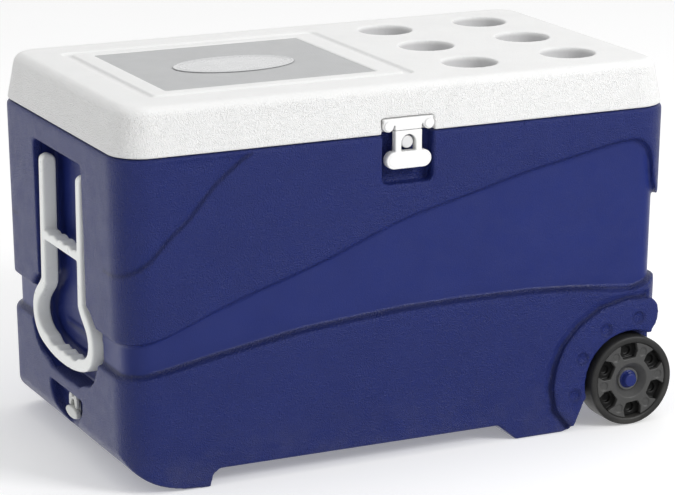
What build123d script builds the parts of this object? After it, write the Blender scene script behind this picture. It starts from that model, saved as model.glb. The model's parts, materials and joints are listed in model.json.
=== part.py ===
from build123d import *
import math
import os

# ---------------------------------------------------------------------------
# Wheeled cool box: double-walled tub, hinged lid with a strap latch, swing-out
# tow handle on the left end, two wheels at the right end, drain plug.
# Frame: +Z up, front toward -Y, wheels toward +X, floor at z = 0.
# ---------------------------------------------------------------------------

# --- body envelope ---------------------------------------------------------
XT, YT = 378.0, 216.0          # half length and half width at the rim
Z_RIM = 416.6                  # top of the body
DRAFT = math.degrees(math.atan(8.0 / 417.0))   # the walls lean in 8 mm to the floor
R_PLAN = 45.0                  # vertical corner radius
R_RIM = 5.0                    # rolled rim of the body
Z_UNDER = 21.0                 # underside between the feet
BELT_DEPTH = 8.5               # depth of the swept belt round the body

# --- lid -------------------------------------------------------------------
Z_LID = 417.4                  # lowest edge of the lid
H_LID = 59.3                   # lid height
XL, YL = 377.0, 216.5          # half length and half width at its lower edge
LID_LEAN = 11.0                # lean of the lid walls, degrees
T_LID = 3.5                    # lid skin
Z_TOP = Z_LID + H_LID

CUP_X, CUP_Y = (133.1, 274.3), (-119.7, 0.0, 119.7)
CUP_R, CUP_DEPTH = 36.6, 24.0

GROOVE = (-314.9, 42.0, 152.1)  # outer x0, x1 and half width of the hatch groove
GROOVE_W, GROOVE_D = 12.0, 3.0
PAD = (-279.0, 3.5, 122.0)      # textured inlay x0, x1, half width
PAD_T = 2.0

# --- tub -------------------------------------------------------------------
XI, YI = 335.0, 173.0           # outer half length and half width of the liner
Z_FLOOR = 44.0                  # underside of the liner floor
T_LINER = 3.0

# --- handle ----------------------------------------------------------------
X_HANDLE = -375.0               # outer face of the handle
T_HANDLE = 19.0
W_BAR = 15.0
HANDLE_PIVOT = (-365.5, 360.0)  # x, z of the hinge pins
X_WELL = -345.0                 # floor of the handle recess

# --- wheels ----------------------------------------------------------------
WX, WZ, WR = 322.6, 59.25, 59.25
WHEEL_OUT, WHEEL_IN = 219.0, 181.0
R_ARCH = 65.5
WELL_IN = 177.0

# --- latch -----------------------------------------------------------------
LATCH_W, LATCH_Z = 34.5, 354.0  # half width and bottom of the latch recess
Y_LATCH_FLOOR = -198.0
FLEX_Z = 421.0                  # line where the strap bends out of its bar

# --- rear hinges -----------------------------------------------------------
HINGE_X = (-235.0, 235.0)
HINGE_Y, HINGE_Z = 226.0, 417.0

# --- drain -----------------------------------------------------------------
DRAIN_Y, DRAIN_Z = 0.0, 54.0
X_DRAIN = -356.0                # floor of the drain pocket

# The drawing is centred on the rim of the body. The finished pieces are shifted so
# that the origin is under the middle of the whole, wheels and hinges included.
FRAME_SHIFT = (-(WX + WR - 377.903) / 2, -(HINGE_Y + 5.6 - WHEEL_OUT) / 2, 0.0)

os.makedirs("parts", exist_ok=True)


def ease(edges, *radii):
    """Round the edges with the first of the radii that the shape allows."""
    for r in radii:
        try:
            fillet(edges, r)
            return
        except Exception:
            continue


def save(builder, name):
    placed = builder.part.moved(Location(FRAME_SHIFT))
    placed.label = name
    export_step(placed, "parts/%s.step" % name)


# ---------------------------------------------------------------------------
# Shared outlines
# ---------------------------------------------------------------------------
# Swept belt, seen from the front: it climbs from the left end to the right.
belt_top = [(-400, 186), (-366, 188), (-338, 191.4), (-254, 221.4), (-168.6, 249.3),
            (-91.3, 274.6), (-4.9, 308.1), (83, 330), (172.9, 352.3), (264.3, 369.4),
            (310.6, 377.4), (327, 377), (340, 369.1), (349.4, 351.4), (354, 322), (366, 300), (400, 294)]
belt_low = [(400, 192), (366, 190), (347.4, 183.5), (328.6, 178.5), (270.9, 184),
            (177.6, 191), (86.4, 192.1), (-2.8, 190.6), (-90, 184), (-139, 179.8),
            (-197, 170.6), (-254, 161.4), (-310, 151.1), (-355, 144.8), (-400, 143)]

# Handle recess in the left end, (y, z), one half; mirrored about y = 0.
recess_half = [(0, 386), (80, 386), (84, 382), (84, 210), (98, 202), (112, 188),
               (117, 165), (115, 140), (104, 119), (88, 107), (62, 101), (48, 95), (0, 93)]
# Raised panel on the floor of the recess, (y, z), one half.
panel_half = [(0, 180.5), (30, 177), (60, 171), (84, 165), (92, 161), (95, 155), (92, 148), (84, 141),
              (70, 134.5), (52, 131), (28, 129.6), (0, 129.4)]
# Tow handle, (y, z), outer and inner edges of one half.
arm_out = [(73, 208), (81, 200), (97, 186), (105.5, 172), (107, 157), (101, 141), (88, 128.5),
           (62, 119), (32, 114), (0, 112.5)]
arm_in = [(58, 204), (67, 192), (82, 179), (90, 168), (91, 157), (86, 147.5), (75, 140),
          (52, 134.4), (28, 131.2), (0, 130.8)]


def mirrored(half):
    return [(y, z) for y, z in half] + [(-y, z) for y, z in reversed(half) if abs(y) > 1e-6]



# ---------------------------------------------------------------------------
# Hardware fixed in the body
# ---------------------------------------------------------------------------
with BuildPart() as handle_pins:
    for side in (-1, 1):
        with BuildSketch(Plane.XZ.offset(-side * 61)):
            with Locations(HANDLE_PIVOT):
                Circle(4.0)
        extrude(amount=-side * 32)
save(handle_pins, "handle_pins")

with BuildPart() as latch_peg:
    with BuildSketch(Plane.XZ.offset(-Y_LATCH_FLOOR - 3)):
        with Locations((0, 405.5)):
            Circle(8.0)
    extrude(amount=17.5)
    fillet(latch_peg.faces().sort_by(Axis.Y)[0].edges(), 1.6)
save(latch_peg, "latch_peg")

with BuildPart() as drain_anchor:
    with BuildSketch(Plane.YZ.offset(X_DRAIN + 3)):
        with Locations((0, 71.6)):
            Circle(2.6)
    extrude(amount=-12)
    with BuildSketch(Plane.YZ.offset(X_DRAIN - 6.6)):
        with Locations((0, 71.6)):
            Circle(3.6)
    extrude(amount=-2.4)
save(drain_anchor, "drain_anchor")

# Spigots the wheels turn on: a flange inside the wall, a straight journal, a tapered nose.
def axle_stub(side):
    with BuildPart() as stub:
        with BuildSketch(Plane.YZ.offset(WX)):
            with BuildLine():
                Polyline((side * 169.5, WZ), (side * 169.5, WZ + 21), (side * 173, WZ + 21), (side * 173, WZ + 12),
                         (side * 209.9, WZ + 12), (side * 210.4, WZ + 10.2), (side * 217.2, WZ + 8.4), (side * 218, WZ + 7.6), (side * 218, WZ), close=True)
            make_face()
        revolve(axis=Axis((WX, 0, WZ), (0, 1, 0)))
    return stub


axle_stub_front = axle_stub(-1)
save(axle_stub_front, "axle_stub_front")
axle_stub_rear = axle_stub(1)
save(axle_stub_rear, "axle_stub_rear")


def turned(side, points):
    """A ring turned about the wheel axis from (radius, distance from the middle plane)."""
    with BuildPart() as ring:
        with BuildSketch(Plane.YZ.offset(WX)):
            with BuildLine():
                Polyline(*[(side * y, WZ + r) for r, y in points], close=True)
            make_face()
        revolve(axis=Axis((WX, 0, WZ), (0, 1, 0)))
    return ring


thrust = [(12.3, 177.2), (12.3, 180.4), (20, 180.4), (21, 179.4), (21, 177.2)]
clip = [(12.05, 208.6), (12.05, 209.8), (14.2, 209.8), (14.2, 208.6)]
thrust_washer_front = turned(-1, thrust)
save(thrust_washer_front, "thrust_washer_front")
thrust_washer_rear = turned(1, thrust)
save(thrust_washer_rear, "thrust_washer_rear")
retainer_front = turned(-1, clip)
save(retainer_front, "retainer_front")
retainer_rear = turned(1, clip)
save(retainer_rear, "retainer_rear")

# Screws of the body leaves: shank along -Y into the rear wall, domed head outside.
with BuildPart() as screws_body:
    for hx in HINGE_X:
        for dx in (-18, 18):
            with BuildSketch(Plane.XZ.offset(-219.3)):
                with Locations((hx + dx, 386)):
                    Circle(4.2)
            extrude(amount=-1.8)
            with BuildSketch(Plane.XZ.offset(-219.3)):
                with Locations((hx + dx, 386)):
                    Circle(2.0)
            extrude(amount=10)
save(screws_body, "screws_body")

# Screws of the lid leaves, square to the leaning rear wall of the lid.
lean_out = (0, math.cos(math.radians(LID_LEAN)), math.sin(math.radians(LID_LEAN)))
with BuildPart() as screws_lid:
    for hx in HINGE_X:
        for dx in (-18, 18):
            seat = Plane(origin=(hx + dx, 216.6, 439), x_dir=(1, 0, 0), z_dir=lean_out)
            with BuildSketch(seat):
                Circle(4.2)
            extrude(amount=1.8)
            with BuildSketch(seat):
                Circle(2.0)
            extrude(amount=-10)
save(screws_lid, "screws_lid")

with BuildPart() as hinge_pins:
    for hx in HINGE_X:
        with BuildSketch(Plane.YZ.offset(hx - 29)):
            with Locations((HINGE_Y, HINGE_Z)):
                Circle(2.4)
        extrude(amount=58)
save(hinge_pins, "hinge_pins")

# ---------------------------------------------------------------------------
# Body shell
# ---------------------------------------------------------------------------
down = lambda z: Plane(origin=(0, 0, z), x_dir=(1, 0, 0), z_dir=(0, 0, -1))

# Swept belt as a ring of constant depth, cut to the wave outline.
with BuildPart() as belt:
    with BuildSketch(down(Z_RIM)):
        RectangleRounded(2 * XT + 40, 2 * YT + 40, R_PLAN + 20)
    extrude(amount=Z_RIM)
    with BuildSketch(down(Z_RIM)):
        RectangleRounded(2 * (XT - BELT_DEPTH), 2 * (YT - BELT_DEPTH), R_PLAN - BELT_DEPTH)
    extrude(amount=Z_RIM, taper=DRAFT, mode=Mode.SUBTRACT)
    with BuildSketch(Plane.XZ):
        with BuildLine():
            a = Spline(*belt_top[:13])
            b = Spline(*belt_top[12:])
            c = Line(belt_top[-1], belt_low[0])
            d = Spline(*belt_low)
            e = Line(belt_low[-1], belt_top[0])
        make_face()
    extrude(amount=260, both=True, mode=Mode.INTERSECT)

# Space between the two walls, which the insulation fills.
with BuildPart() as wall_space:
    with BuildSketch(down(Z_RIM + 1)):
        RectangleRounded(2 * (XT - 13), 2 * (YT - 13), R_PLAN - 12)
    extrude(amount=Z_RIM + 1 - (Z_UNDER + 5), taper=DRAFT)
    # the wall round the handle recess
    with BuildSketch(Plane.YZ.offset(X_WELL + 4)):
        with Locations((0, 238)):
            Rectangle(250, 306)
    extrude(amount=-60, mode=Mode.SUBTRACT)
    # the bottom curve of the left end
    with BuildSketch(Plane.XZ):
        with BuildLine():
            Polyline((-380, 66), (-362, 64), (-355, 46), (-342, 34), (-318, 24), (-380, 24), (-380, 66))
        make_face()
    extrude(amount=260, both=True, mode=Mode.SUBTRACT)
    # the wall round the drain pocket
    with BuildSketch(Plane.YZ.offset(X_DRAIN + 4)):
        with Locations((0, 50)):
            Rectangle(128, 72)
    extrude(amount=-60, mode=Mode.SUBTRACT)
    # the raised underside between the wheels
    with BuildSketch(Plane.XZ):
        with Locations((325, 18)):
            Rectangle(178, 42)
    extrude(amount=260, both=True, mode=Mode.SUBTRACT)
    # wheel wells
    with BuildSketch(Plane.XZ.offset(-(WELL_IN - 4))):
        with Locations((322, 65)):
            Rectangle(138, 132)
    extrude(amount=-80, mode=Mode.SUBTRACT)
    with BuildSketch(Plane.XZ.offset(WELL_IN - 4)):
        with Locations((322, 65)):
            Rectangle(138, 132)
    extrude(amount=80, mode=Mode.SUBTRACT)
    # latch recess
    with BuildSketch(Plane.XZ.offset(-Y_LATCH_FLOOR - 4)):
        with Locations((0, 384)):
            Rectangle(2 * LATCH_W + 9, 2 * (384 - LATCH_Z) + 9)
    extrude(amount=40, mode=Mode.SUBTRACT)
    # the wall round the hand grip hollow of the right end
    with BuildSketch(Plane.YZ.offset(XT - 28)):
        with Locations((0, 345)):
            Rectangle(158, 52)
    extrude(amount=60, mode=Mode.SUBTRACT)
    # rebate that the liner flange lies on
    with BuildSketch(down(Z_RIM + 2)):
        Rectangle(2 * XT, 2 * YT)
    extrude(amount=5.4, mode=Mode.SUBTRACT)

with BuildPart() as body_shell:
    with BuildSketch(down(Z_RIM)):
        RectangleRounded(2 * XT, 2 * YT, R_PLAN)
    extrude(amount=Z_RIM, taper=DRAFT)
    fillet(body_shell.faces().sort_by(Axis.Z)[-1].edges(), R_RIM)
    # the lower left end rolls under in a long curve
    with BuildSketch(Plane.XZ):
        with BuildLine():
            EllipticalCenterArc((-275, 60), 97.5, 60, start_angle=180, arc_size=90)
            Polyline((-275, 0), (-275, -20), (-420, -20), (-420, 60), (-372.5, 60))
        make_face()
    extrude(amount=260, both=True, mode=Mode.SUBTRACT)
    # raised underside between the feet, along and across
    with BuildSketch(Plane.XZ):
        with BuildLine():
            Polyline((-262, -1), (-258, 15), (-250, Z_UNDER), (134, Z_UNDER), (161, -1), (-262, -1))
        make_face()
    extrude(amount=260, both=True, mode=Mode.SUBTRACT)
    with BuildSketch(Plane.YZ.offset(-400)):
        with BuildLine():
            Polyline((-66, -1), (-61, Z_UNDER), (61, Z_UNDER), (66, -1), (-66, -1))
        make_face()
    extrude(amount=800, mode=Mode.SUBTRACT)
    # the underside steps up behind the right-hand feet, clear of the axle line
    with BuildSketch(Plane.XZ):
        with BuildLine():
            Polyline((240, -1), (257, 34), (400, 34), (400, -1), (240, -1))
        make_face()
    extrude(amount=WELL_IN + 1, both=True, mode=Mode.SUBTRACT)
    # belt
    add(belt.part, mode=Mode.SUBTRACT)
    # raised lips of the wheel arches, front and rear, with a row of round dimples
    for side in (-1, 1):
        with BuildSketch(Plane.XZ.offset(-side * 195)):
            with BuildLine():
                Spline((235, 6), (214, 30), (208.5, 62), (213, 90), (225, 116.5), (246, 139.5),
                       (280, 160.5), (318, 169), (347, 168), (361, 158), (364, 146), (355, 123))
                Line((355, 123), (355, 60))
                Line((355, 60), (262, 6))
                Line((262, 6), (235, 6))
            make_face()
        extrude(amount=-side * (214.5 - 195))
        with Locations(*[(x, side * 223.68, z) for x, z in ((334, 141.2), (286.4, 130.2), (252.1, 96.2), (241.7, 48.5))]):
            Sphere(12.58, mode=Mode.SUBTRACT)
    # wheel wells
    for side in (-1, 1):
        with BuildSketch(Plane.XZ.offset(-side * WELL_IN)):
            with Locations((WX, WZ)):
                Circle(R_ARCH)
            with BuildLine():
                Polyline((WX, WZ), (256.5, 40), (238, -2), (400, -2), (400, 105), (WX + 30, WZ + 60), (WX, WZ))
            make_face()
        extrude(amount=-side * 60, mode=Mode.SUBTRACT)
    # handle recess
    with BuildSketch(Plane.YZ.offset(X_WELL)):
        with BuildLine():
            Polyline(*mirrored(recess_half), close=True)
        make_face()
    extrude(amount=-60, mode=Mode.SUBTRACT)
    # blank raised panel on the floor of the recess: a rim, a lower field and a slot in it
    with BuildSketch(Plane.YZ.offset(X_WELL)):
        with BuildLine():
            Polyline(*mirrored(panel_half), close=True)
        make_face()
    extrude(amount=-1.2)
    with BuildSketch(Plane.YZ.offset(X_WELL - 0.3)):
        with BuildLine():
            Polyline(*mirrored([(0.95 * y, 155 + 0.87 * (z - 155)) for y, z in panel_half]), close=True)
        make_face()
    extrude(amount=-4, mode=Mode.SUBTRACT)
    with BuildSketch(Plane.YZ.offset(X_WELL + 2)):
        with Locations((0, 151)):
            SlotOverall(124, 11)
    extrude(amount=-6, mode=Mode.SUBTRACT)
    # drain pocket, open at the bottom
    with BuildSketch(Plane.YZ.offset(X_DRAIN)):
        with BuildLine():
            Polyline((57, 78), (56.5, 68), (51, 57), (43, 50), (32, 43), (20, 34), (12, 8),
                     (-12, 8), (-20, 34), (-32, 43), (-43, 50), (-51, 57), (-56.5, 68), (-57, 78), close=True)
        make_face()
    extrude(amount=-60, mode=Mode.SUBTRACT)
    # latch recess
    with BuildSketch(Plane.XZ.offset(-Y_LATCH_FLOOR)):
        with Locations((0, LATCH_Z + 50)):
            RectangleRounded(2 * LATCH_W, 100, 8)
    extrude(amount=60, mode=Mode.SUBTRACT)
    # hand grip hollow under the rim of the right end
    with BuildSketch(Plane.YZ.offset(XT - 24)):
        with Locations((0, 345)):
            RectangleRounded(150, 44, 14)
    extrude(amount=40, mode=Mode.SUBTRACT)
    # space between the walls
    add(wall_space.part, mode=Mode.SUBTRACT)
    # rebate for the liner flange
    with BuildSketch(Plane.XY.offset(Z_RIM - 3.2)):
        RectangleRounded(2 * (XT - 26), 2 * (YT - 26), 24)
    extrude(amount=10, mode=Mode.SUBTRACT)
    with BuildSketch(Plane.XY.offset(Z_RIM - 30)):
        RectangleRounded(2 * (XI + 1), 2 * (YI + 1), 30)
    extrude(amount=40, mode=Mode.SUBTRACT)
    # bore for the drain spout
    with BuildSketch(Plane.YZ.offset(-380)):
        with Locations((DRAIN_Y, DRAIN_Z)):
            Circle(9.5)
    extrude(amount=60, mode=Mode.SUBTRACT)
    # sockets for the pins, pegs, spigots and screws that are fixed in it
    for fixed in (handle_pins, latch_peg, drain_anchor, axle_stub_front, axle_stub_rear, screws_body):
        add(fixed.part, mode=Mode.SUBTRACT)

save(body_shell, "body_shell")

# ---------------------------------------------------------------------------
# Inner liner: the white tub with a flange that lies in the rim rebate
# ---------------------------------------------------------------------------
with BuildPart() as tub_outside:
    with BuildSketch(down(Z_RIM - 3.1)):
        RectangleRounded(2 * XI, 2 * YI, 28)
    extrude(amount=Z_RIM - 3.1 - Z_FLOOR, taper=1.3)
    fillet(tub_outside.faces().sort_by(Axis.Z)[0].edges(), 16)

with BuildPart() as tub_hollow:
    with BuildSketch(down(Z_RIM)):
        RectangleRounded(2 * (XI - T_LINER), 2 * (YI - T_LINER), 25)
    extrude(amount=Z_RIM - Z_FLOOR - T_LINER, taper=1.3)
    fillet(tub_hollow.faces().sort_by(Axis.Z)[0].edges(), 13)

with BuildPart() as inner_liner:
    add(tub_outside.part)
    with BuildSketch(Plane.XY.offset(Z_RIM - 3.1)):
        RectangleRounded(2 * (XT - 26.3), 2 * (YT - 26.3), 24)
    extrude(amount=3.0)
    add(tub_hollow.part, mode=Mode.SUBTRACT)
    # hole for the drain spout
    with BuildSketch(Plane.YZ.offset(-345)):
        with Locations((DRAIN_Y, DRAIN_Z)):
            Circle(9.5)
    extrude(amount=40, mode=Mode.SUBTRACT)
save(inner_liner, "inner_liner")

with BuildPart() as insulation:
    add(wall_space.part)
    add(tub_outside.part, mode=Mode.SUBTRACT)
    with BuildSketch(Plane.YZ.offset(-380)):
        with Locations((DRAIN_Y, DRAIN_Z)):
            Circle(9.5)
    extrude(amount=80, mode=Mode.SUBTRACT)
    for fixed in (handle_pins, axle_stub_front, axle_stub_rear, screws_body):
        add(fixed.part, mode=Mode.SUBTRACT)
save(insulation, "insulation")

# ---------------------------------------------------------------------------
# Drain: spout through both walls, stopper with a pull tab, moulded tether
# ---------------------------------------------------------------------------
with BuildPart() as drain_spout:
    with BuildSketch(Plane.YZ.offset(X_DRAIN - 2.4)):
        with Locations((DRAIN_Y, DRAIN_Z)):
            Circle(14.0)
    extrude(amount=2.4)
    with BuildSketch(Plane.YZ.offset(X_DRAIN)):
        with Locations((DRAIN_Y, DRAIN_Z)):
            Circle(9.5)
    extrude(amount=34)
    with BuildSketch(Plane.YZ.offset(X_DRAIN - 3)):
        with Locations((DRAIN_Y, DRAIN_Z)):
            Circle(7.2)
    extrude(amount=40, mode=Mode.SUBTRACT)
save(drain_spout, "drain_spout")

with BuildPart() as drain_plug:
    with BuildSketch(Plane.YZ.offset(X_DRAIN - 2.8)):
        with Locations((0, DRAIN_Z)):
            Circle(6.9)
    extrude(amount=17)
    with BuildSketch(Plane.YZ.offset(X_DRAIN - 2.8)):
        with Locations((0, 48)):
            Ellipse(20, 7.6)
    extrude(amount=-6.5)
    fillet(drain_plug.faces().sort_by(Axis.X)[0].edges(), 2.0)
save(drain_plug, "drain_plug")

with BuildPart() as drain_tether:
    with BuildSketch(Plane.YZ.offset(X_DRAIN - 2.8)):
        with BuildLine():
            Polyline((-14, 55.2), (-14, 66))
            ThreePointArc((-14, 66), (0, 77.0), (14, 66))
            Polyline((14, 66), (14, 55.2), (-14, 55.2))
        make_face()
        with BuildLine():
            Polyline((-7.5, 55.2), (-7.5, 60))
            ThreePointArc((-7.5, 60), (0, 65.0), (7.5, 60))
            Polyline((7.5, 60), (7.5, 55.2), (-7.5, 55.2))
        make_face(mode=Mode.SUBTRACT)
        with Locations((0, 71.6)):
            Circle(2.8, mode=Mode.SUBTRACT)
    extrude(amount=-3.6)
save(drain_tether, "drain_tether")

# ---------------------------------------------------------------------------
# Tow handle
# ---------------------------------------------------------------------------
with BuildPart() as tow_handle:
    with BuildSketch(Plane.YZ.offset(X_HANDLE)):
        with BuildLine():
            Polyline((-73, 208), (-73, 362))
            ThreePointArc((-73, 362), (-65.5, 372), (-58, 362))
            Polyline((-58, 362), (-58, 272.5), (58, 272.5), (58, 362))
            ThreePointArc((58, 362), (65.5, 372), (73, 362))
            Line((73, 362), (73, 208))
            Spline(*arm_out, *[(-y, z) for y, z in arm_out[:-1][::-1]])
        make_face()
        # lower window, between the cross bar and the grip
        with BuildLine():
            Polyline((-58, 204), (-58, 260), (58, 260), (58, 204))
            Spline(*arm_in, *[(-y, z) for y, z in arm_in[:-1][::-1]])
        make_face(mode=Mode.SUBTRACT)
    extrude(amount=T_HANDLE)
    # finger hollows on the cross bar and on the grip
    with BuildSketch(Plane.YZ.offset(X_HANDLE - 2)):
        with Locations(*[(y, 284.5) for y in (-39, -13, 13, 39)]):
            Circle(14.5)
    extrude(amount=T_HANDLE + 4, mode=Mode.SUBTRACT)
    with BuildSketch(Plane.YZ.offset(X_HANDLE - 2)):
        with Locations(*[(y, 153.7) for y in (-36, -12, 12, 36)]):
            Circle(26)
    extrude(amount=T_HANDLE + 4, mode=Mode.SUBTRACT)
    # rounded ends of the arms round the pivot
    with BuildSketch(Plane.XZ):
        with BuildLine():
            Polyline((X_HANDLE - 2, HANDLE_PIVOT[1]), (X_HANDLE - 2, 380), (X_HANDLE + T_HANDLE + 2, 380),
                     (X_HANDLE + T_HANDLE + 2, HANDLE_PIVOT[1]), close=True)
        make_face()
        with Locations(HANDLE_PIVOT):
            Circle(T_HANDLE / 2, mode=Mode.SUBTRACT)
    extrude(amount=100, both=True, mode=Mode.SUBTRACT)
    # blind bores for the pivot pins, open on the outer sides of the arms
    for side in (-1, 1):
        with BuildSketch(Plane.XZ.offset(-side * 60.8)):
            with Locations(HANDLE_PIVOT):
                Circle(4.1)
        extrude(amount=-side * 20, mode=Mode.SUBTRACT)
    ease(tow_handle.faces().sort_by(Axis.X)[0].edges(), 3.0, 2.0, 1.2)
save(tow_handle, "tow_handle")

# ---------------------------------------------------------------------------
# Wheels
# ---------------------------------------------------------------------------
def wheel_tyre(side):
    return turned(side, [(50.0, 183), (50.0, 217.0), (51.2, 219), (56.8, 219), (58.5, 218.2), (59.25, 216.5),
                         (59.25, 183.5), (58.5, 181.8), (56.8, 181), (52, 181)])


def wheel_disc(side):
    with BuildPart() as disc:
        with BuildSketch(Plane.YZ.offset(WX)):
            with BuildLine():
                Polyline(*[(side * y, WZ + r) for r, y in
                           [(14.8, 207), (16.5, 209.5), (23.4, 217.2), (49.8, 217.2), (49.8, 184), (45, 184), (45, 204),
                            (22, 204), (22, 184), (14.8, 184)]], close=True)
            make_face()
        revolve(axis=Axis((WX, 0, WZ), (0, 1, 0)))
        face = Plane(origin=(WX, side * 217.2, WZ), x_dir=(1, 0, 0), z_dir=(0, side, 0))
        # six tapered pockets open toward the rim, each with a round hole
        with BuildSketch(face):
            with PolarLocations(0, 6, start_angle=35):
                with Locations((0, 0)):
                    Polygon((29.5, -8.5), (29.5, 8.5), (38, 13), (51, 11), (51, -11), (38, -13), align=None)
        extrude(amount=-8, mode=Mode.SUBTRACT)
        with BuildSketch(face):
            with PolarLocations(38.5, 6, start_angle=35):
                Circle(5.8)
        extrude(amount=-12, mode=Mode.SUBTRACT)
        # six shallow round dimples between them
        with BuildSketch(face):
            with PolarLocations(40, 6, start_angle=5):
                Circle(5.8)
        extrude(amount=-1.4, mode=Mode.SUBTRACT)
    return disc


bush = [(12.1, 184.5), (12.1, 208.2), (15.2, 208.2), (14.7, 207.2), (14.7, 184.5)]
for side, end in ((-1, "front"), (1, "rear")):
    save(wheel_tyre(side), "wheel_tyre_" + end)
    save(wheel_disc(side), "wheel_disc_" + end)
    save(turned(side, bush), "wheel_bush_" + end)

# ---------------------------------------------------------------------------
# Strap latch: the bar is plugged to the lid, the strap hooks over the peg
# ---------------------------------------------------------------------------
with BuildPart() as latch_bar:
    with BuildSketch(Plane.XZ.offset(203.5)):
        with Locations((0, 432)):
            Rectangle(55, 8.6)
        with Locations((-27.5, 427.4), (27.5, 427.4)):
            Circle(7.4)
        with Locations((-30.2, 432), (30.2, 432)):
            Rectangle(7.0, 8.2)
        with BuildLine():
            Polyline((-18, 436.3), (18, 436.3), (18, FLEX_Z + 0.3), (-18, FLEX_Z + 0.3), close=True)
        make_face()
    extrude(amount=12.5)
save(latch_bar, "latch_bar")

with BuildPart() as latch_plugs:
    with BuildSketch(Plane.XZ.offset(216.1)):
        with Locations((-27.5, 427.4), (27.5, 427.4)):
            Circle(5.7)
    extrude(amount=1.6)
    fillet(latch_plugs.edges().filter_by(GeomType.CIRCLE).group_by(Axis.Y)[0], 0.7)
save(latch_plugs, "latch_plugs")

with BuildPart() as latch_strap:
    with BuildSketch(Plane.XZ.offset(206)):
        with BuildLine():
            Polyline((-18, FLEX_Z - 0.3), (18, FLEX_Z - 0.3), (18, 388), (-18, 388), close=True)
        make_face()
        with BuildLine():
            Line((-10, 394), (-10, 405.5))
            ThreePointArc((-10, 405.5), (0, 415.5), (10, 405.5))
            Polyline((10, 405.5), (10, 394), (-10, 394))
        make_face(mode=Mode.SUBTRACT)
    extrude(amount=10)
    with BuildSketch(Plane.XZ.offset(206.5)):
        with Locations((0, 384.3)):
            SlotOverall(61, 21.5)
    extrude(amount=11.5)
    ease(latch_strap.faces().sort_by(Axis.Y)[0].edges(), 2.0, 1.5, 1.0, 0.6)
save(latch_strap, "latch_strap")

# ---------------------------------------------------------------------------
# Lid
# ---------------------------------------------------------------------------
up = lambda z: Plane.XY.offset(z)

# Space inside the lid, which its insulation fills.
with BuildPart() as lid_space:
    with BuildSketch(up(Z_LID + 3.4)):
        RectangleRounded(2 * (XL - T_LID - 1.2), 2 * (YL - T_LID - 1.2), R_PLAN - 4)
    extrude(amount=H_LID - T_LID - 3.4, taper=LID_LEAN + 1.5)
    # cup holder walls
    with BuildSketch(up(Z_TOP - CUP_DEPTH - T_LID)):
        with Locations(*[(x, y) for x in CUP_X for y in CUP_Y]):
            Circle(CUP_R + 2.5)
    extrude(amount=40, mode=Mode.SUBTRACT)
    # hatch groove wall
    with BuildSketch(up(Z_TOP - GROOVE_D - T_LID)):
        with Locations(((GROOVE[0] + GROOVE[1]) / 2, 0)):
            Rectangle(GROOVE[1] - GROOVE[0] + 8, 2 * GROOVE[2] + 8)
    extrude(amount=20, mode=Mode.SUBTRACT)
    # latch notch walls
    with BuildSketch(up(Z_LID - 1)):
        with Locations((0, -(YL - 12))):
            Rectangle(79, 45)
    extrude(amount=24.5, mode=Mode.SUBTRACT)

with BuildPart() as lid_shell:
    with BuildSketch(up(Z_LID)):
        RectangleRounded(2 * XL, 2 * YL, R_PLAN)
    extrude(amount=H_LID, taper=LID_LEAN)
    fillet(lid_shell.faces().sort_by(Axis.Z)[-1].edges(), 14)
    fillet(lid_shell.faces().sort_by(Axis.Z)[0].edges(), 3.2)
    add(lid_space.part, mode=Mode.SUBTRACT)
    # opening in the bottom for the inner panel
    with BuildSketch(up(Z_LID - 1)):
        RectangleRounded(2 * (XI + 12), 2 * (YI + 12), 36)
    extrude(amount=5.5, mode=Mode.SUBTRACT)
    # cup holders
    with BuildSketch(up(Z_TOP - CUP_DEPTH)):
        with Locations(*[(x, y) for x in CUP_X for y in CUP_Y]):
            Circle(CUP_R - 1.6)
    extrude(amount=CUP_DEPTH + 5, mode=Mode.SUBTRACT, taper=-1.5)
    # hatch groove round the raised panel
    with BuildSketch(up(Z_TOP - GROOVE_D)):
        with Locations(((GROOVE[0] + GROOVE[1]) / 2, 0)):
            RectangleRounded(GROOVE[1] - GROOVE[0], 2 * GROOVE[2], 12)
            RectangleRounded(GROOVE[1] - GROOVE[0] - 2 * GROOVE_W, 2 * GROOVE[2] - 2 * GROOVE_W, 6, mode=Mode.SUBTRACT)
    extrude(amount=10, mode=Mode.SUBTRACT)
    # bed for the textured inlay
    with BuildSketch(up(Z_TOP - PAD_T - 0.6)):
        with Locations(((PAD[0] + PAD[1]) / 2, 0)):
            Rectangle(PAD[1] - PAD[0], 2 * PAD[2])
    extrude(amount=10, mode=Mode.SUBTRACT)
    # latch notch in the front edge
    with BuildSketch(Plane.XZ.offset(199.5)):
        with Locations((0, Z_LID + 4.5)):
            RectangleRounded(72, 30, 3)
    extrude(amount=40, mode=Mode.SUBTRACT)
    add(screws_lid.part, mode=Mode.SUBTRACT)
save(lid_shell, "lid_shell")

with BuildPart() as lid_foam:
    add(lid_space.part)
    add(screws_lid.part, mode=Mode.SUBTRACT)
    with BuildSketch(up(Z_LID - 2)):
        Rectangle(900, 600)
    extrude(amount=6.5, mode=Mode.SUBTRACT)
save(lid_foam, "lid_foam")

# Inner panel of the lid with a plug that drops into the mouth of the tub.
with BuildPart() as lid_inner_panel:
    with BuildSketch(up(Z_LID + 1.4)):
        RectangleRounded(2 * (XI + 11.7), 2 * (YI + 11.7), 35.7)
    extrude(amount=2.9)
    with BuildSketch(down(Z_LID + 1.4)):
        RectangleRounded(2 * (XI - 9), 2 * (YI - 9), 20)
    extrude(amount=9, taper=12)
    # shallow dish in the middle of the plug
    with BuildSketch(up(Z_LID - 12)):
        RectangleRounded(2 * (XI - 28), 2 * (YI - 28), 16)
    extrude(amount=7.5, mode=Mode.SUBTRACT)
save(lid_inner_panel, "lid_inner_panel")

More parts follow.
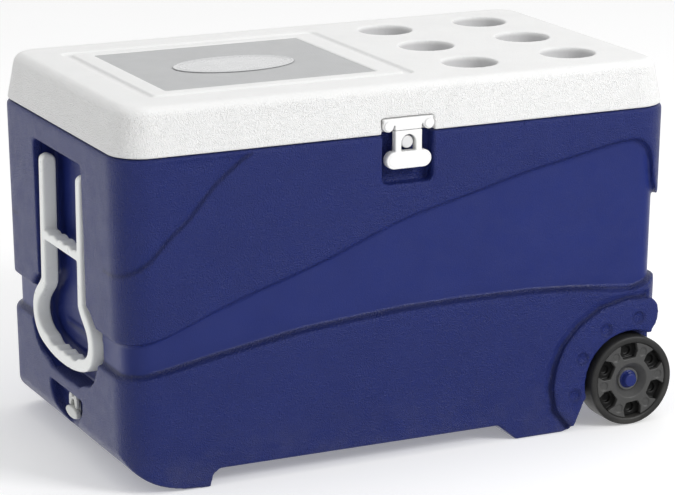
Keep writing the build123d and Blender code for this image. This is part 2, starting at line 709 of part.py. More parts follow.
with BuildPart() as lid_pad:
    with BuildSketch(up(Z_TOP - PAD_T - 0.6)):
        with Locations(((PAD[0] + PAD[1]) / 2, 0)):
            Rectangle(PAD[1] - PAD[0] - 0.6, 2 * PAD[2] - 0.6)
    extrude(amount=PAD_T)
save(lid_pad, "lid_pad")

BADGE_X, BADGE_Y = -139.7, -4.2
with BuildPart() as lid_badge:
    with BuildSketch(up(Z_TOP - 0.6)):
        with Locations((BADGE_X, BADGE_Y)):
            Ellipse(80, 47)
    extrude(amount=1.0)
save(lid_badge, "lid_badge")

# ---------------------------------------------------------------------------
# Rear hinges: a body leaf with two knuckles, a lid leaf with one between them
# ---------------------------------------------------------------------------
with BuildPart() as knuckle_bore:
    with BuildSketch(Plane.YZ.offset(-400)):
        with Locations((HINGE_Y, HINGE_Z)):
            Circle(2.5)
    extrude(amount=800)


def body_leaf(hx):
    with BuildPart() as leaf:
        with BuildSketch(Plane.XZ.offset(-216.0)):
            with Locations((hx, 388)):
                RectangleRounded(58, 34, 5)
        extrude(amount=-3.2)
        for dx in (-19.3, 19.3):
            with BuildSketch(Plane.YZ.offset(hx + dx - 9.2)):
                with BuildLine():
                    Polyline((216.8, 398), (219.2, 398), (230.5, 411.5), (230.5, 417), (221, 417), (219, 411), (216.8, 408), close=True)
                make_face()
                with Locations((HINGE_Y, HINGE_Z)):
                    Circle(5.6)
            extrude(amount=18.4)
        add(knuckle_bore.part, mode=Mode.SUBTRACT)
        add(screws_body.part, mode=Mode.SUBTRACT)
    return leaf


def lid_leaf(hx):
    with BuildPart() as leaf:
        wall = Plane(origin=(hx, 216.6, 439), x_dir=(1, 0, 0), z_dir=lean_out)
        with BuildSketch(wall):
            RectangleRounded(58, 25, 5)
        extrude(amount=-3.0)
        with BuildSketch(Plane.YZ.offset(hx - 9.4)):
            with BuildLine():
                Polyline((216.0, 427.5), (219.0, 427.8), (231.0, 421), (231, 416.5), (222, 415.5), (219.0, 422.5), (216.4, 424.8), close=True)
            make_face()
            with Locations((HINGE_Y, HINGE_Z)):
                Circle(5.6)
        extrude(amount=18.8)
        add(knuckle_bore.part, mode=Mode.SUBTRACT)
        add(screws_lid.part, mode=Mode.SUBTRACT)
    return leaf


for hx, end in zip(HINGE_X, ("left", "right")):
    save(body_leaf(hx), "hinge_body_leaf_" + end)
    save(lid_leaf(hx), "hinge_lid_leaf_" + end)
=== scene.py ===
import json
import math

import bmesh
import bpy
import numpy as np
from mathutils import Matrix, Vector


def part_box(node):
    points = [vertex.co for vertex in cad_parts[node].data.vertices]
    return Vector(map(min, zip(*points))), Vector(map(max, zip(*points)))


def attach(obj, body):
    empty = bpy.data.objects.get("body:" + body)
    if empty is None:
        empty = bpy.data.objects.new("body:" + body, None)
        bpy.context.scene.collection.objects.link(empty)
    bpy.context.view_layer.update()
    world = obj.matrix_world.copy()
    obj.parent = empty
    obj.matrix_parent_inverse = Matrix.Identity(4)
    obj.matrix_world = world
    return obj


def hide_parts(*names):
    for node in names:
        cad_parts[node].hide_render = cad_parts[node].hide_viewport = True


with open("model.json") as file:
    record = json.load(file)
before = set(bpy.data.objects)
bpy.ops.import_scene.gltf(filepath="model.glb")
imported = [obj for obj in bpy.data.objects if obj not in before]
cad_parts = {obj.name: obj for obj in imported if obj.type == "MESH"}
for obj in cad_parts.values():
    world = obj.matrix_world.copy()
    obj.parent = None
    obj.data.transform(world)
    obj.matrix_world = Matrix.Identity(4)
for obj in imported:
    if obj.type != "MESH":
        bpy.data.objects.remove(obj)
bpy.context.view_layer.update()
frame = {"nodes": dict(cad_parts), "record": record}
nodes = frame["nodes"]

# The drawing's own origin, under the middle of the rim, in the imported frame.
lo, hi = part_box("body_shell")
OX = (lo.x + hi.x) / 2
OY = (lo.y + hi.y) / 2
MM = 0.001


def local(co):
    """Points in millimetres from the drawing's origin."""
    q = co * 1000.0
    q[:, 0] -= OX * 1000.0
    q[:, 1] -= OY * 1000.0
    return q


# ---------------------------------------------------------------------------
# Node-based materials
# ---------------------------------------------------------------------------
def new_material(name, rough=0.5, specular=0.5, coat=0.0, coat_rough=0.1, sheen=0.0, subsurface=0.0):
    m = bpy.data.materials.new(name)
    m.use_nodes = True
    nt = m.node_tree
    b = nt.nodes["Principled BSDF"]
    b.inputs["Roughness"].default_value = rough
    b.inputs["Specular IOR Level"].default_value = specular
    b.inputs["Coat Weight"].default_value = coat
    b.inputs["Coat Roughness"].default_value = coat_rough
    b.inputs["Sheen Weight"].default_value = sheen
    if subsurface:
        b.inputs["Subsurface Weight"].default_value = subsurface
        b.inputs["Subsurface Radius"].default_value = (1.0, 0.9, 0.8)
        b.inputs["Subsurface Scale"].default_value = 0.002
    return m, nt, b


def coords(nt):
    return nt.nodes.new("ShaderNodeTexCoord").outputs["Object"]


def noise(nt, at, scale, detail=4.0, rough=0.55, stretch=None):
    if stretch:
        mp = nt.nodes.new("ShaderNodeMapping")
        mp.inputs["Scale"].default_value = stretch
        nt.links.new(at, mp.inputs["Vector"])
        at = mp.outputs["Vector"]
    n = nt.nodes.new("ShaderNodeTexNoise")
    n.inputs["Scale"].default_value = scale
    n.inputs["Detail"].default_value = detail
    n.inputs["Roughness"].default_value = rough
    nt.links.new(at, n.inputs["Vector"])
    return n.outputs["Fac"]


def cells(nt, at, scale, smooth=0.6):
    v = nt.nodes.new("ShaderNodeTexVoronoi")
    v.feature = "SMOOTH_F1"
    v.inputs["Scale"].default_value = scale
    v.inputs["Smoothness"].default_value = smooth
    nt.links.new(at, v.inputs["Vector"])
    return v.outputs["Distance"]


def spread(nt, fac, a, b, low=0.0, high=1.0):
    """Maps a factor from low..high to a..b."""
    r = nt.nodes.new("ShaderNodeMapRange")
    r.inputs["From Min"].default_value = low
    r.inputs["From Max"].default_value = high
    r.inputs["To Min"].default_value = a
    r.inputs["To Max"].default_value = b
    nt.links.new(fac, r.inputs["Value"])
    return r.outputs["Result"]


def blend_colour(nt, fac, a, b):
    m = nt.nodes.new("ShaderNodeMix")
    m.data_type = "RGBA"
    nt.links.new(fac, m.inputs["Factor"])
    for sock, c in ((m.inputs["A"], a), (m.inputs["B"], b)):
        if hasattr(c, "links"):
            nt.links.new(c, sock)
        else:
            sock.default_value = (*c, 1.0)
    return m.outputs["Result"]


def times(nt, a, b):
    m = nt.nodes.new("ShaderNodeMath")
    m.operation = "MULTIPLY"
    nt.links.new(a, m.inputs[0])
    if hasattr(b, "links"):
        nt.links.new(b, m.inputs[1])
    else:
        m.inputs[1].default_value = b
    return m.outputs[0]


def bump(nt, height, distance, strength=1.0, below=None):
    b = nt.nodes.new("ShaderNodeBump")
    b.inputs["Distance"].default_value = distance
    b.inputs["Strength"].default_value = strength
    nt.links.new(height, b.inputs["Height"])
    if below is not None:
        nt.links.new(below, b.inputs["Normal"])
    return b.outputs["Normal"]


def edges_of(nt, low=0.53, high=0.62):
    """Near 1 on worn convex edges, 0 on flat surfaces."""
    g = nt.nodes.new("ShaderNodeNewGeometry")
    return spread(nt, g.outputs["Pointiness"], 0.0, 1.0, low, high)


def dust_of(nt, at, z0, z1):
    """1 near the floor, falling to 0 at z1, broken up by noise."""
    sep = nt.nodes.new("ShaderNodeSeparateXYZ")
    nt.links.new(at, sep.inputs["Vector"])
    near = spread(nt, sep.outputs["Z"], 1.0, 0.0, z0, z1)
    return times(nt, near, spread(nt, noise(nt, at, 28, 6, 0.65), 0.0, 1.0, 0.42, 0.7))


def moulded(name, colour, colour2, rough=(0.4, 0.55), grain=((900, 0.00012),), cell=None, worn=None,
            specular=0.5, coat=0.0, coat_rough=0.1, dirt=None, smooth_attr=False, subsurface=0.0, variation=16, shaded=None):
    """A moulded plastic: slow colour drift, uneven gloss, grain in the tool surface and paler worn edges."""
    m, nt, b = new_material(name, rough[0], specular, coat, coat_rough, subsurface=subsurface)
    at = coords(nt)
    col = blend_colour(nt, spread(nt, noise(nt, at, variation, 5, 0.6), 0.0, 1.0, 0.3, 0.7), colour, colour2)
    speck = spread(nt, noise(nt, at, 520, 3, 0.7), 0.0, 0.12, 0.45, 0.8)
    dark = tuple(c * 0.82 for c in colour)
    col = blend_colour(nt, speck, col, dark)
    if worn:
        edge = times(nt, edges_of(nt), spread(nt, noise(nt, at, 140, 5, 0.7), 0.1, 0.55, 0.4, 0.65))
        col = blend_colour(nt, edge, col, worn)
    if dirt:
        col = blend_colour(nt, times(nt, dust_of(nt, at, 0.0, 0.09), 0.16), col, dirt)
    # painted shade: where the mesh's shade attribute is set, the colour is pulled towards the shaded colour
    if shaded:
        a = nt.nodes.new("ShaderNodeAttribute")
        a.attribute_name = "shade"
        col = blend_colour(nt, a.outputs["Fac"], col, shaded)
    nt.links.new(col, b.inputs["Base Color"])
    r = spread(nt, noise(nt, at, 42, 6, 0.62), rough[0], rough[1], 0.3, 0.7)
    nt.links.new(r, b.inputs["Roughness"])
    below = None
    strength = None
    if smooth_attr:
        a = nt.nodes.new("ShaderNodeAttribute")
        a.attribute_name = "grain"
        strength = a.outputs["Fac"]
    if cell:
        h = cells(nt, at, cell[0])
        if strength is not None:
            h = times(nt, h, strength)
        below = bump(nt, h, cell[1])
    for scale, depth in grain:
        h = noise(nt, at, scale, 2, 0.5)
        if strength is not None:
            h = times(nt, h, strength)
        below = bump(nt, h, depth, 1.0, below)
    if below is not None:
        nt.links.new(below, b.inputs["Normal"])
    return m


BLUE = moulded("blue_shell", (0.0110, 0.0210, 0.142), (0.0128, 0.0238, 0.155), rough=(0.34, 0.44), smooth_attr=True,
               cell=(620, 0.0014), grain=((1100, 0.0009),), worn=(0.028, 0.042, 0.18), shaded=(0.0035, 0.007, 0.052),
               dirt=(0.16, 0.15, 0.14), specular=0.42)
WHITE = moulded("white_shell", (0.86, 0.86, 0.855), (0.83, 0.83, 0.825), rough=(0.42, 0.54),
                cell=(650, 0.0014), grain=((1300, 0.0007),), worn=(0.88, 0.88, 0.88), specular=0.4,
                smooth_attr=True, subsurface=0.03, shaded=(0.60, 0.60, 0.605))
LINER = moulded("white_liner", (0.83, 0.835, 0.83), (0.79, 0.795, 0.79), rough=(0.16, 0.26),
                grain=((60, 0.00006), (600, 0.00002)), specular=0.5, subsurface=0.05)
FOAM = moulded("foam", (0.78, 0.70, 0.46), (0.72, 0.62, 0.38), rough=(0.8, 0.9), cell=(900, 0.0004), grain=((300, 0.0002),))
RUBBER = moulded("white_rubber", (0.86, 0.86, 0.855), (0.82, 0.82, 0.815), rough=(0.20, 0.30),
                 grain=((500, 0.00003), (90, 0.00005)), specular=0.5, coat=0.25, coat_rough=0.12, subsurface=0.06)
PEG = moulded("peg_rubber", (0.70, 0.70, 0.70), (0.66, 0.66, 0.66), rough=(0.28, 0.4), grain=((500, 0.00004),), specular=0.5)
LIGHT = moulded("light_plastic", (0.60, 0.61, 0.60), (0.55, 0.56, 0.55), rough=(0.25, 0.36), grain=((600, 0.00004),))
SOFT = moulded("soft_light", (0.63, 0.64, 0.625), (0.58, 0.59, 0.575), rough=(0.3, 0.42), grain=((500, 0.00005),),
               worn=(0.72, 0.72, 0.70))
HANDLE = moulded("handle_grey", (0.85, 0.865, 0.85), (0.82, 0.835, 0.82), rough=(0.26, 0.36),
                 grain=((420, 0.00004), (60, 0.00005)), worn=(0.88, 0.89, 0.88), specular=0.5)
BLACK = moulded("black_plastic", (0.066, 0.066, 0.065), (0.060, 0.060, 0.060), rough=(0.42, 0.55),
                grain=((1100, 0.00006), (220, 0.00008)), worn=(0.085, 0.085, 0.083), dirt=(0.20, 0.19, 0.17), specular=0.5, shaded=(0.006, 0.006, 0.006))
TREAD = moulded("tread_plastic", (0.029, 0.029, 0.0285), (0.025, 0.025, 0.025), rough=(0.48, 0.62),
                grain=((900, 0.0001), (160, 0.00012)), worn=(0.08, 0.078, 0.075), dirt=(0.22, 0.205, 0.18), specular=0.45)
BUSH = moulded("bush_plastic", (0.10, 0.10, 0.10), (0.085, 0.085, 0.085), rough=(0.3, 0.42), grain=((800, 0.00004),))
PAD = moulded("grey_pad", (0.50, 0.505, 0.51), (0.47, 0.475, 0.48), rough=(0.42, 0.55), grain=((1500, 0.00005),),
              worn=(0.62, 0.625, 0.63), specular=0.45)
BADGE = moulded("badge_grey", (0.60, 0.605, 0.61), (0.56, 0.565, 0.57), rough=(0.22, 0.34), grain=((900, 0.00003),),
                worn=(0.80, 0.80, 0.80))


def brushed_steel(name):
    m, nt, b = new_material(name, 0.3)
    b.inputs["Metallic"].default_value = 1.0
    at = coords(nt)
    streak = noise(nt, at, 260, 6, 0.6, stretch=(0.15, 3.0, 3.0))
    nt.links.new(blend_colour(nt, streak, (0.50, 0.51, 0.52), (0.66, 0.66, 0.66)), b.inputs["Base Color"])
    nt.links.new(spread(nt, streak, 0.22, 0.42), b.inputs["Roughness"])
    nt.links.new(bump(nt, streak, 0.00004), b.inputs["Normal"])
    return m


STEEL = brushed_steel("steel")
FINISH = {"blue_shell": BLUE, "white_shell": WHITE, "white_liner": LINER, "foam": FOAM, "steel": STEEL,
          "white_rubber": RUBBER, "light_plastic": LIGHT, "soft_light": SOFT, "black_plastic": BLACK,
          "bush_plastic": BUSH, "grey_pad": PAD, "badge_grey": BADGE, "handle_grey": HANDLE}
SLOT = {s["node"]: s["material_slot"] for s in frame["record"]["subparts"]}
BODY = {n: b for b, ns in frame["record"]["behaviour"]["bodies"].items() for n in ns}

for name, ob in nodes.items():
    ob.data.materials.clear()
    ob.data.materials.append(FINISH[SLOT[name]])


# ---------------------------------------------------------------------------
# Mesh helpers
# ---------------------------------------------------------------------------
def put(name, mesh, node, material, also=(), attr=None):
    """A piece that stands for a node of the frame and rides on its body."""
    ob = bpy.data.objects.new(name, mesh)
    bpy.context.scene.collection.objects.link(ob)
    mesh.materials.clear()
    mesh.materials.append(material)
    mesh.polygons.foreach_set("use_smooth", [True] * len(mesh.polygons))
    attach(ob, BODY[node])
    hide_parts(node, *also)
    return ob


def remeshed(node, voxel):
    """The node's closed surface again as an even grid of small quads."""
    src = nodes[node]
    me = src.data.copy()
    ob = bpy.data.objects.new("tmp_" + node, me)
    bpy.context.scene.collection.objects.link(ob)
    mod = ob.modifiers.new("remesh", "REMESH")
    mod.mode = "VOXEL"
    mod.voxel_size = voxel
    mod.adaptivity = 0.0
    deps = bpy.context.evaluated_depsgraph_get()
    out = bpy.data.meshes.new_from_object(ob.evaluated_get(deps))
    bpy.data.objects.remove(ob)
    bpy.data.meshes.remove(me)
    return out


def points(me):
    co = np.empty(len(me.vertices) * 3, np.float32)
    me.vertices.foreach_get("co", co)
    return co.reshape(-1, 3).astype(np.float64)


def set_points(me, co):
    me.vertices.foreach_set("co", co.astype(np.float32).ravel())
    me.update()


def pairs(me):
    e = np.empty(len(me.edges) * 2, np.int32)
    me.edges.foreach_get("vertices", e)
    return e.reshape(-1, 2)


def relax(co, e, rounds, weight=None, back=0.0):
    """Laplacian smoothing; back > 0 pushes out again each round so that thin shapes keep their size."""
    n = len(co)
    deg = np.bincount(e.ravel(), minlength=n).astype(float)
    deg[deg == 0] = 1.0
    w = 0.5 if weight is None else (0.5 * weight)[:, None]

    def mean(q):
        out = np.empty_like(q)
        for k in range(3):
            out[:, k] = (np.bincount(e[:, 0], q[e[:, 1], k], n) + np.bincount(e[:, 1], q[e[:, 0], k], n)) / deg
        return out

    for _ in range(rounds):
        co = co + (mean(co) - co) * w
        if back:
            co = co - (mean(co) - co) * w * back
    return co


def normals(me):
    nr = np.empty(len(me.vertices) * 3, np.float32)
    me.vertices.foreach_get("normal", nr)
    return nr.reshape(-1, 3).astype(np.float64)


def step(x, a, b):
    t = np.clip((x - a) / (b - a), 0, 1)
    return t * t * (3 - 2 * t)


def to_line(px, pz, line):
    """Distance of points to an open polyline in a plane, and the side of it they are on."""
    best = np.full(len(px), 1e9)
    side = np.zeros(len(px))
    for (x0, z0), (x1, z1) in zip(line[:-1], line[1:]):
        dx, dz = x1 - x0, z1 - z0
        t = np.clip(((px - x0) * dx + (pz - z0) * dz) / (dx * dx + dz * dz), 0, 1)
        d = np.hypot(px - x0 - t * dx, pz - z0 - t * dz)
        s = np.sign(dx * (pz - z0) - dz * (px - x0))
        near = d < best
        best = np.where(near, d, best)
        side = np.where(near, s, side)
    return best, side


def attribute(me, name, values):
    a = me.attributes.new(name, "FLOAT", "POINT")
    a.data.foreach_set("value", values.astype(np.float32))


def softened(node, voxel, rounds, material, back=0.0, name=None, grain=None, pocket_shade=False):
    me = remeshed(node, voxel)
    co = relax(points(me), pairs(me), rounds, back=back)
    set_points(me, co)
    if grain is not None:
        attribute(me, "grain", np.full(len(co), grain))
    if pocket_shade:
        # painted shade: the bottoms of the wheel disc pockets are darkened through the shade attribute
        yy = np.abs(local(co)[:, 1])
        rr = np.hypot(local(co)[:, 0] - 322.6, local(co)[:, 2] - 59.25)
        attribute(me, "shade", (1 - step(yy, 210.0, 214.5)) * (rr > 26) * (rr < 53))
    return put(name or "soft_" + node, me, node, material)


# ---------------------------------------------------------------------------
# Body: soft moulded edges, the swept belt, the fine crease, arch dimples
# ---------------------------------------------------------------------------
belt_top = [(-400, 186), (-366, 188), (-338, 191.4), (-254, 221.4), (-168.6, 249.3),
            (-91.3, 274.6), (-4.9, 308.1), (83, 330), (172.9, 352.3), (264.3, 369.4),
            (310.6, 377.4), (327, 377), (340, 369.1), (349.4, 351.4), (354, 322), (366, 300), (400, 294)]
belt_low = [(-400, 143), (-355, 144.8), (-310, 151.1), (-254, 161.4), (-197, 170.6), (-139, 179.8),
            (-90, 184), (-2.8, 190.6), (86.4, 192.1), (177.6, 191), (270.9, 184), (328.6, 178.5),
            (347.4, 183.5), (366, 190), (400, 192)]
crease = [(-206, 413.8), (-222, 404), (-253.8, 378.8), (-270, 361), (-287.2, 339.9), (-315, 316), (-337, 293),
          (-350, 283), (-364.8, 275), (-386.6, 268), (-400, 266)]

me = remeshed("body_shell", 0.0020)
co = points(me)
e = pairs(me)
q = local(co)
x, y, z = q.T
outer = (np.abs(x) > 340) | (np.abs(y) > 195)
d_top, _ = to_line(x, z, belt_top)
d_low, _ = to_line(x, z, belt_low)
near = np.minimum(d_top, d_low)
soft = np.where(outer, 1.0 - step(near, 7, 12), 0.0)
co = relax(co, e, 3)
co = relax(co, e, 5, weight=soft)
set_points(me, co)
nr = normals(me)
q = local(co)
x, y, z = q.T
move = np.zeros(len(co))

# fine crease in the upper left of both long sides: the corner side stands a little lower
d, s = to_line(x, z, crease)
across = np.where(s < 0, d, -d)
sunk = step(across, -1.8, 1.8) * (1 - step(across, 30, 120)) * step(x, -374, -352) * (1 - step(z, 408, 415))
sunk = sunk + 0.45 * np.exp(-((across - 2.2) / 1.8) ** 2) * step(x, -374, -352) * (1 - step(z, 408, 415))
on_side = (np.abs(y) > 150) & (np.abs(nr[:, 2]) < 0.8) & (x < -150) & (z > 240) & (z < 416)
move = np.where(on_side, move - 2.6 * sunk, move)

# the skirt of the arch rises from the wall in a soft hollow curve
arch = [(235, 6), (214, 30), (208.5, 62), (213, 90), (225, 116.5), (246, 139.5), (280, 160.5), (318, 169), (347, 168)]
d, s = to_line(x, z, arch)
inside = np.where(s < 0, d, -d)
lip = (np.abs(y) > 204) & (x < 352) & (z < 176) & (d < 20)
shoulder = 5.0 * (1 - np.sqrt(np.clip(1 - (1 - np.clip(inside / 11, 0, 1)) ** 2, 0, 1)))
move = np.where(lip & (inside >= 0), move - shoulder, move)
move = np.where(lip & (inside < 0), move - 5.0 * (1 - step(-inside, 0, 10)), move)
co = co + nr * (move * MM)[:, None]

# the belt is smoother than the rest
q = local(co)
x, y, z = q.T
zt = np.interp(x, [p[0] for p in belt_top], [p[1] for p in belt_top])
zl = np.interp(x, [p[0] for p in belt_low], [p[1] for p in belt_low])
belt = step(z, zl + 2, zl + 7) * (1 - step(z, zt - 7, zt - 2))
recess = ((x > -367) & (x < -300) & (np.abs(y) < 122) & (z > 95) & (z < 390)).astype(float)
grain = 1.0 - 0.88 * np.maximum(belt, recess)
set_points(me, co)
co = relax(co, e, 1)
set_points(me, co)
# the round dimples of the lip, as smooth bowls in its flat face
q = local(co)
x, y, z = q.T
for cx, cz in ((334, 141.2), (286.4, 130.2), (252.1, 96.2), (241.7, 48.5)):
    r = np.hypot(x - cx, z - cz)
    depth = np.sqrt(np.maximum(12.58 ** 2 - r ** 2, 0)) - 9.18
    face = (np.abs(y) > 207) & (np.abs(y) < 217) & (r < 10.5)
    co[:, 1] = np.where(face, co[:, 1] + np.sign(y) * (214.4 - np.maximum(depth, 0) - np.abs(y)) * MM, co[:, 1])
set_points(me, co)
attribute(me, "grain", grain)

# painted shade in the bottom of the grooves: arch lip, dimple rims, belt shoulder and crease, kept in the shade
# attribute
nz = normals(me)[:, 2]
q = local(co)
x, y, z = q.T
d_arch, _ = to_line(x, z, arch)
d_low, _ = to_line(x, z, belt_low)
d_fold, _ = to_line(x, z, crease)
shade = 0.75 * np.exp(-(d_arch / 2.6) ** 2) * ((np.abs(y) > 200) & (z < 176))
for cx, cz in ((334, 141.2), (286.4, 130.2), (252.1, 96.2), (241.7, 48.5)):
    r = np.hypot(x - cx, z - cz)
    shade = np.maximum(shade, 0.35 * np.exp(-((r - 7.8) / 1.8) ** 2) * (np.abs(y) > 205))
zl = np.interp(x, [p[0] for p in belt_low], [p[1] for p in belt_low])
shade = np.maximum(shade, 0.62 * step(nz, 0.05, 0.22) * step(z - zl, -3, 3) * (1 - step(d_low, 6, 10)))
shade = np.maximum(shade, 0.5 * np.exp(-((d_fold - 0.5) / 1.8) ** 2) * ((x < -206) & (np.abs(y) > 150) & (z < 413)))
attribute(me, "shade", shade)
body = put("tub_outer", me, "body_shell", BLUE)

# ---------------------------------------------------------------------------
# Lid
# ---------------------------------------------------------------------------
me = remeshed("lid_shell", 0.0017)
co = points(me)
e = pairs(me)
co = relax(co, e, 2)
q = local(co)
x, y, z = q.T
# painted shade inside the cup holders, kept in the shade attribute that darkens the white shell
cup = np.zeros(len(x))
for cx in (133.1, 274.3):
    for cy in (-119.7, 0.0, 119.7):
        r = np.hypot(x - cx, y - cy)
        cup = np.maximum(cup, (1 - step(r, 36.8, 37.6)) * (1 - step(z, 470, 475.5)) * (z > 449))
set_points(me, co)
side = 1.0 - step(z, 464, 475)
attribute(me, "grain", np.where(cup > 0.02, 0.1, 0.22 + 0.78 * side))
attribute(me, "shade", cup)
lid = put("lid_outer", me, "lid_shell", WHITE)

# Textured inlay: a field of small pyramids standing in the bed, real relief.
plo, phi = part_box("lid_pad")
blo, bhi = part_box("lid_badge")
bx, by = (blo.x + bhi.x) / 2, (blo.y + bhi.y) / 2
ba, bb = (bhi.x - blo.x) / 2, (bhi.y - blo.y) / 2
nx, ny = 372, 320
gx = np.linspace(plo.x, phi.x, nx)
gy = np.linspace(plo.y, phi.y, ny)
X, Y = np.meshgrid(gx, gy, indexing="ij")
pitch = 4.6
u = (X * 1000 + Y * 1000) / pitch
v = (X * 1000 - Y * 1000) / pitch
knurl = 1.0 - np.maximum(np.abs((u % 1.0) - 0.5), np.abs((v % 1.0) - 0.5)) * 2
edge = np.minimum.reduce([X - plo.x, phi.x - X, Y - plo.y, phi.y - Y]) * 1000
in_badge = ((X - bx) / (ba + 0.001)) ** 2 + ((Y - by) / (bb + 0.001)) ** 2
Z = phi.z - 0.0007 + np.where(edge > 1.4, 0.0007 * knurl, 0.0006) - 0.0004 * (in_badge < 1.0)
Z = np.where(edge < 0.01, phi.z - 0.0006, Z)
top = np.stack([X, Y, Z], -1).reshape(-1, 3)
idx = np.arange(nx * ny).reshape(nx, ny)
quads = np.stack([idx[:-1, :-1], idx[1:, :-1], idx[1:, 1:], idx[:-1, 1:]], -1).reshape(-1, 4)
rim = np.concatenate([idx[:, 0], idx[-1, 1:], idx[-2::-1, -1], idx[0, -2:0:-1]])
low = top[rim].copy()
low[:, 2] = plo.z
base = len(top)
k = np.arange(len(rim))
walls = np.stack([rim, base + k, base + np.roll(k, -1), np.roll(rim, -1)], -1)
me = bpy.data.meshes.new("pad")
me.from_pydata(np.concatenate([top, low]).tolist(), [],
               quads.tolist() + walls.tolist() + [list(reversed((base + k).tolist()))])
me.validate()
me.update()
pad = put("inlay_knurled", me, "lid_pad", PAD)
bm = bmesh.new()
bm.from_mesh(me)
bmesh.ops.recalc_face_normals(bm, faces=bm.faces)
bm.to_mesh(me)
bm.free()

# Blank oval badge: a plate with a raised outer rim, a groove and a fine inner rim.
profile = [(1.0, 0.0), (1.0, 0.70), (0.992, 0.92), (0.975, 1.0), (0.955, 0.98), (0.942, 0.80), (0.932, 0.42), (0.90, 0.40),
           (0.845, 0.40), (0.835, 0.62), (0.822, 0.70), (0.806, 0.68), (0.796, 0.50), (0.785, 0.36), (0.72, 0.34),
           (0.60, 0.36), (0.45, 0.42), (0.30, 0.47), (0.15, 0.49)]
seg = 160
vs, fs = [], []
for f, h in profile:
    for i in range(seg):
        a = 2 * math.pi * i / seg
        # the rims keep an even width round the oval
        rx = ba - (1 - f) * 0.062 * 0.75
        ry = bb - (1 - f) * 0.045
        if f < 0.7:
            rx, ry = ba * f * 0.98, bb * f * 0.62
        vs.append((bx + rx * math.cos(a), by + ry * math.sin(a), blo.z + (bhi.z - blo.z) * h))
for r in range(len(profile) - 1):
    for i in range(seg):
        j = (i + 1) % seg
        fs.append((r * seg + i, r * seg + j, (r + 1) * seg + j, (r + 1) * seg + i))
vs.append((bx, by, blo.z + (bhi.z - blo.z) * 0.5))
for i in range(seg):
    fs.append(((len(profile) - 1) * seg + i, (len(profile) - 1) * seg + (i + 1) % seg, len(vs) - 1))
fs.append(tuple(reversed(range(seg))))
me = bpy.data.meshes.new("badge")
me.from_pydata(vs, [], fs)
me.update()
badge = put("badge_blank", me, "lid_badge", BADGE)

# ---------------------------------------------------------------------------
# Small parts with soft moulded edges
# ---------------------------------------------------------------------------
softened("tow_handle", 0.0010, 14, HANDLE, name="handle_moulded")
softened("latch_bar", 0.0006, 4, RUBBER, name="latch_bar_soft")
softened("latch_peg", 0.0006, 4, PEG, name="latch_peg_soft")
softened("drain_plug", 0.0005, 4, SOFT, name="drain_plug_soft")
softened("drain_spout", 0.0006, 3, LIGHT, name="drain_spout_soft")
softened("drain_anchor", 0.0004, 3, SOFT, name="drain_button")
softened("drain_tether", 0.0004, 4, SOFT, name="drain_tether_soft")
for end in ("front", "rear"):
    softened("wheel_tyre_" + end, 0.0011, 4, TREAD, name="tyre_" + end)
    softened("wheel_disc_" + end, 0.0007, 3, BLACK, name="disc_" + end, pocket_shade=True)
    softened("axle_stub_" + end, 0.0007, 3, BLUE, name="spigot_" + end, grain=0.1)

# Latch strap: soft edges and a raised line round the pull tab.
me = remeshed("latch_strap", 0.0005)
co = relax(points(me), pairs(me), 5)
q = local(co)
x, y, z = q.T
set_points(me, co)
nr = normals(me)
half = 30.5 - 10.75
d = 10.75 - np.hypot(np.maximum(np.abs(x) - half, 0), z - 384.3)
ridge = np.exp(-((d - 2.6) / 0.55) ** 2)
facing = (nr[:, 1] < -0.6) & (z < 396) & (y < -217.0)
co[:, 1] += np.where(facing, 0.45 * ridge * MM, 0)
set_points(me, co)
strap = put("latch_strap_soft", me, "latch_strap", RUBBER)

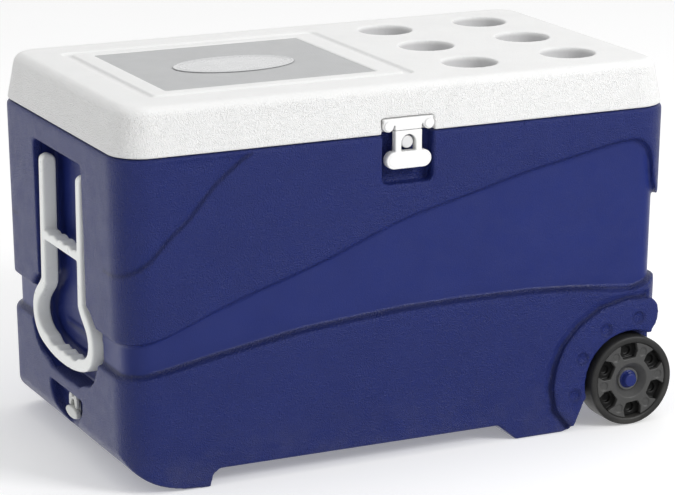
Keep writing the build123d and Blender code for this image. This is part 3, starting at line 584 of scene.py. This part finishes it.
# ---------------------------------------------------------------------------
# Stage, light and camera
# ---------------------------------------------------------------------------
stage_mat, nt, b = new_material("floor_paint", 0.9, 0.2)
at = coords(nt)
nt.links.new(blend_colour(nt, noise(nt, at, 3.0, 3, 0.5), (0.90, 0.90, 0.90), (0.92, 0.92, 0.92)), b.inputs["Base Color"])
b.inputs["Emission Color"].default_value = (1.0, 1.0, 1.0, 1.0)
b.inputs["Emission Strength"].default_value = 0.26
me = bpy.data.meshes.new("floor")
s = 14.0
me.from_pydata([(-s, -s, 0), (s, -s, 0), (s, s, 0), (-s, s, 0)], [], [(0, 1, 2, 3)])
me.materials.append(stage_mat)
floor = bpy.data.objects.new("studio_floor", me)
bpy.context.scene.collection.objects.link(floor)
floor.location.z = -0.0005
floor.visible_glossy = False

# White room: even light, but only the backdrop behind the object is bright enough to mirror.
world = bpy.data.worlds.new("studio")
bpy.context.scene.world = world
world.use_nodes = True
nt = world.node_tree
background = nt.nodes["Background"]
background.inputs["Color"].default_value = (1.0, 1.0, 1.0, 1.0)
path = nt.nodes.new("ShaderNodeLightPath")
direction = nt.nodes.new("ShaderNodeTexCoord").outputs["Generated"]
sep = nt.nodes.new("ShaderNodeSeparateXYZ")
nt.links.new(direction, sep.inputs["Vector"])
mirror = spread(nt, sep.outputs["Y"], 0.16, 1.15, -0.1, 0.55)
pick = nt.nodes.new("ShaderNodeMix")
pick.data_type = "FLOAT"
nt.links.new(path.outputs["Is Glossy Ray"], pick.inputs["Factor"])
pick.inputs["A"].default_value = 0.66
nt.links.new(mirror, pick.inputs["B"])
nt.links.new(pick.outputs["Result"], background.inputs["Strength"])


def area(name, at, to, size, power, colour=(1, 1, 1)):
    l = bpy.data.lights.new(name, "AREA")
    l.energy = power
    l.shape = "RECTANGLE"
    l.size, l.size_y = size
    l.color = colour
    ob = bpy.data.objects.new(name, l)
    bpy.context.scene.collection.objects.link(ob)
    ob.location = at
    ob.rotation_euler = (Vector(to) - Vector(at)).to_track_quat("-Z", "Y").to_euler()
    return ob


area("key", (2.1, -3.0, 2.3), (0, 0, 0.2), (1.5, 1.2), 84)
area("top_soft", (0.3, 0.5, 2.8), (0, 0, 0.4), (2.4, 2.0), 9)

bpy.context.scene.view_settings.view_transform = "Standard"
cam_data = bpy.data.cameras.new("camera")
cam = bpy.data.objects.new("camera", cam_data)
bpy.context.scene.collection.objects.link(cam)
bpy.context.scene.camera = cam
cam_data.sensor_width = 36.0
cam_data.lens = 156.19
cam_data.shift_x = 0.00658
cam_data.shift_y = -0.04039
cam_data.clip_end = 60.0
eye = Vector((-1.56646 + OX, -3.31824 + OY, 1.19852))
aim = Vector((OX, OY, 0.2575))
cam.location = eye
cam.rotation_euler = (aim - eye).to_track_quat("-Z", "Y").to_euler()
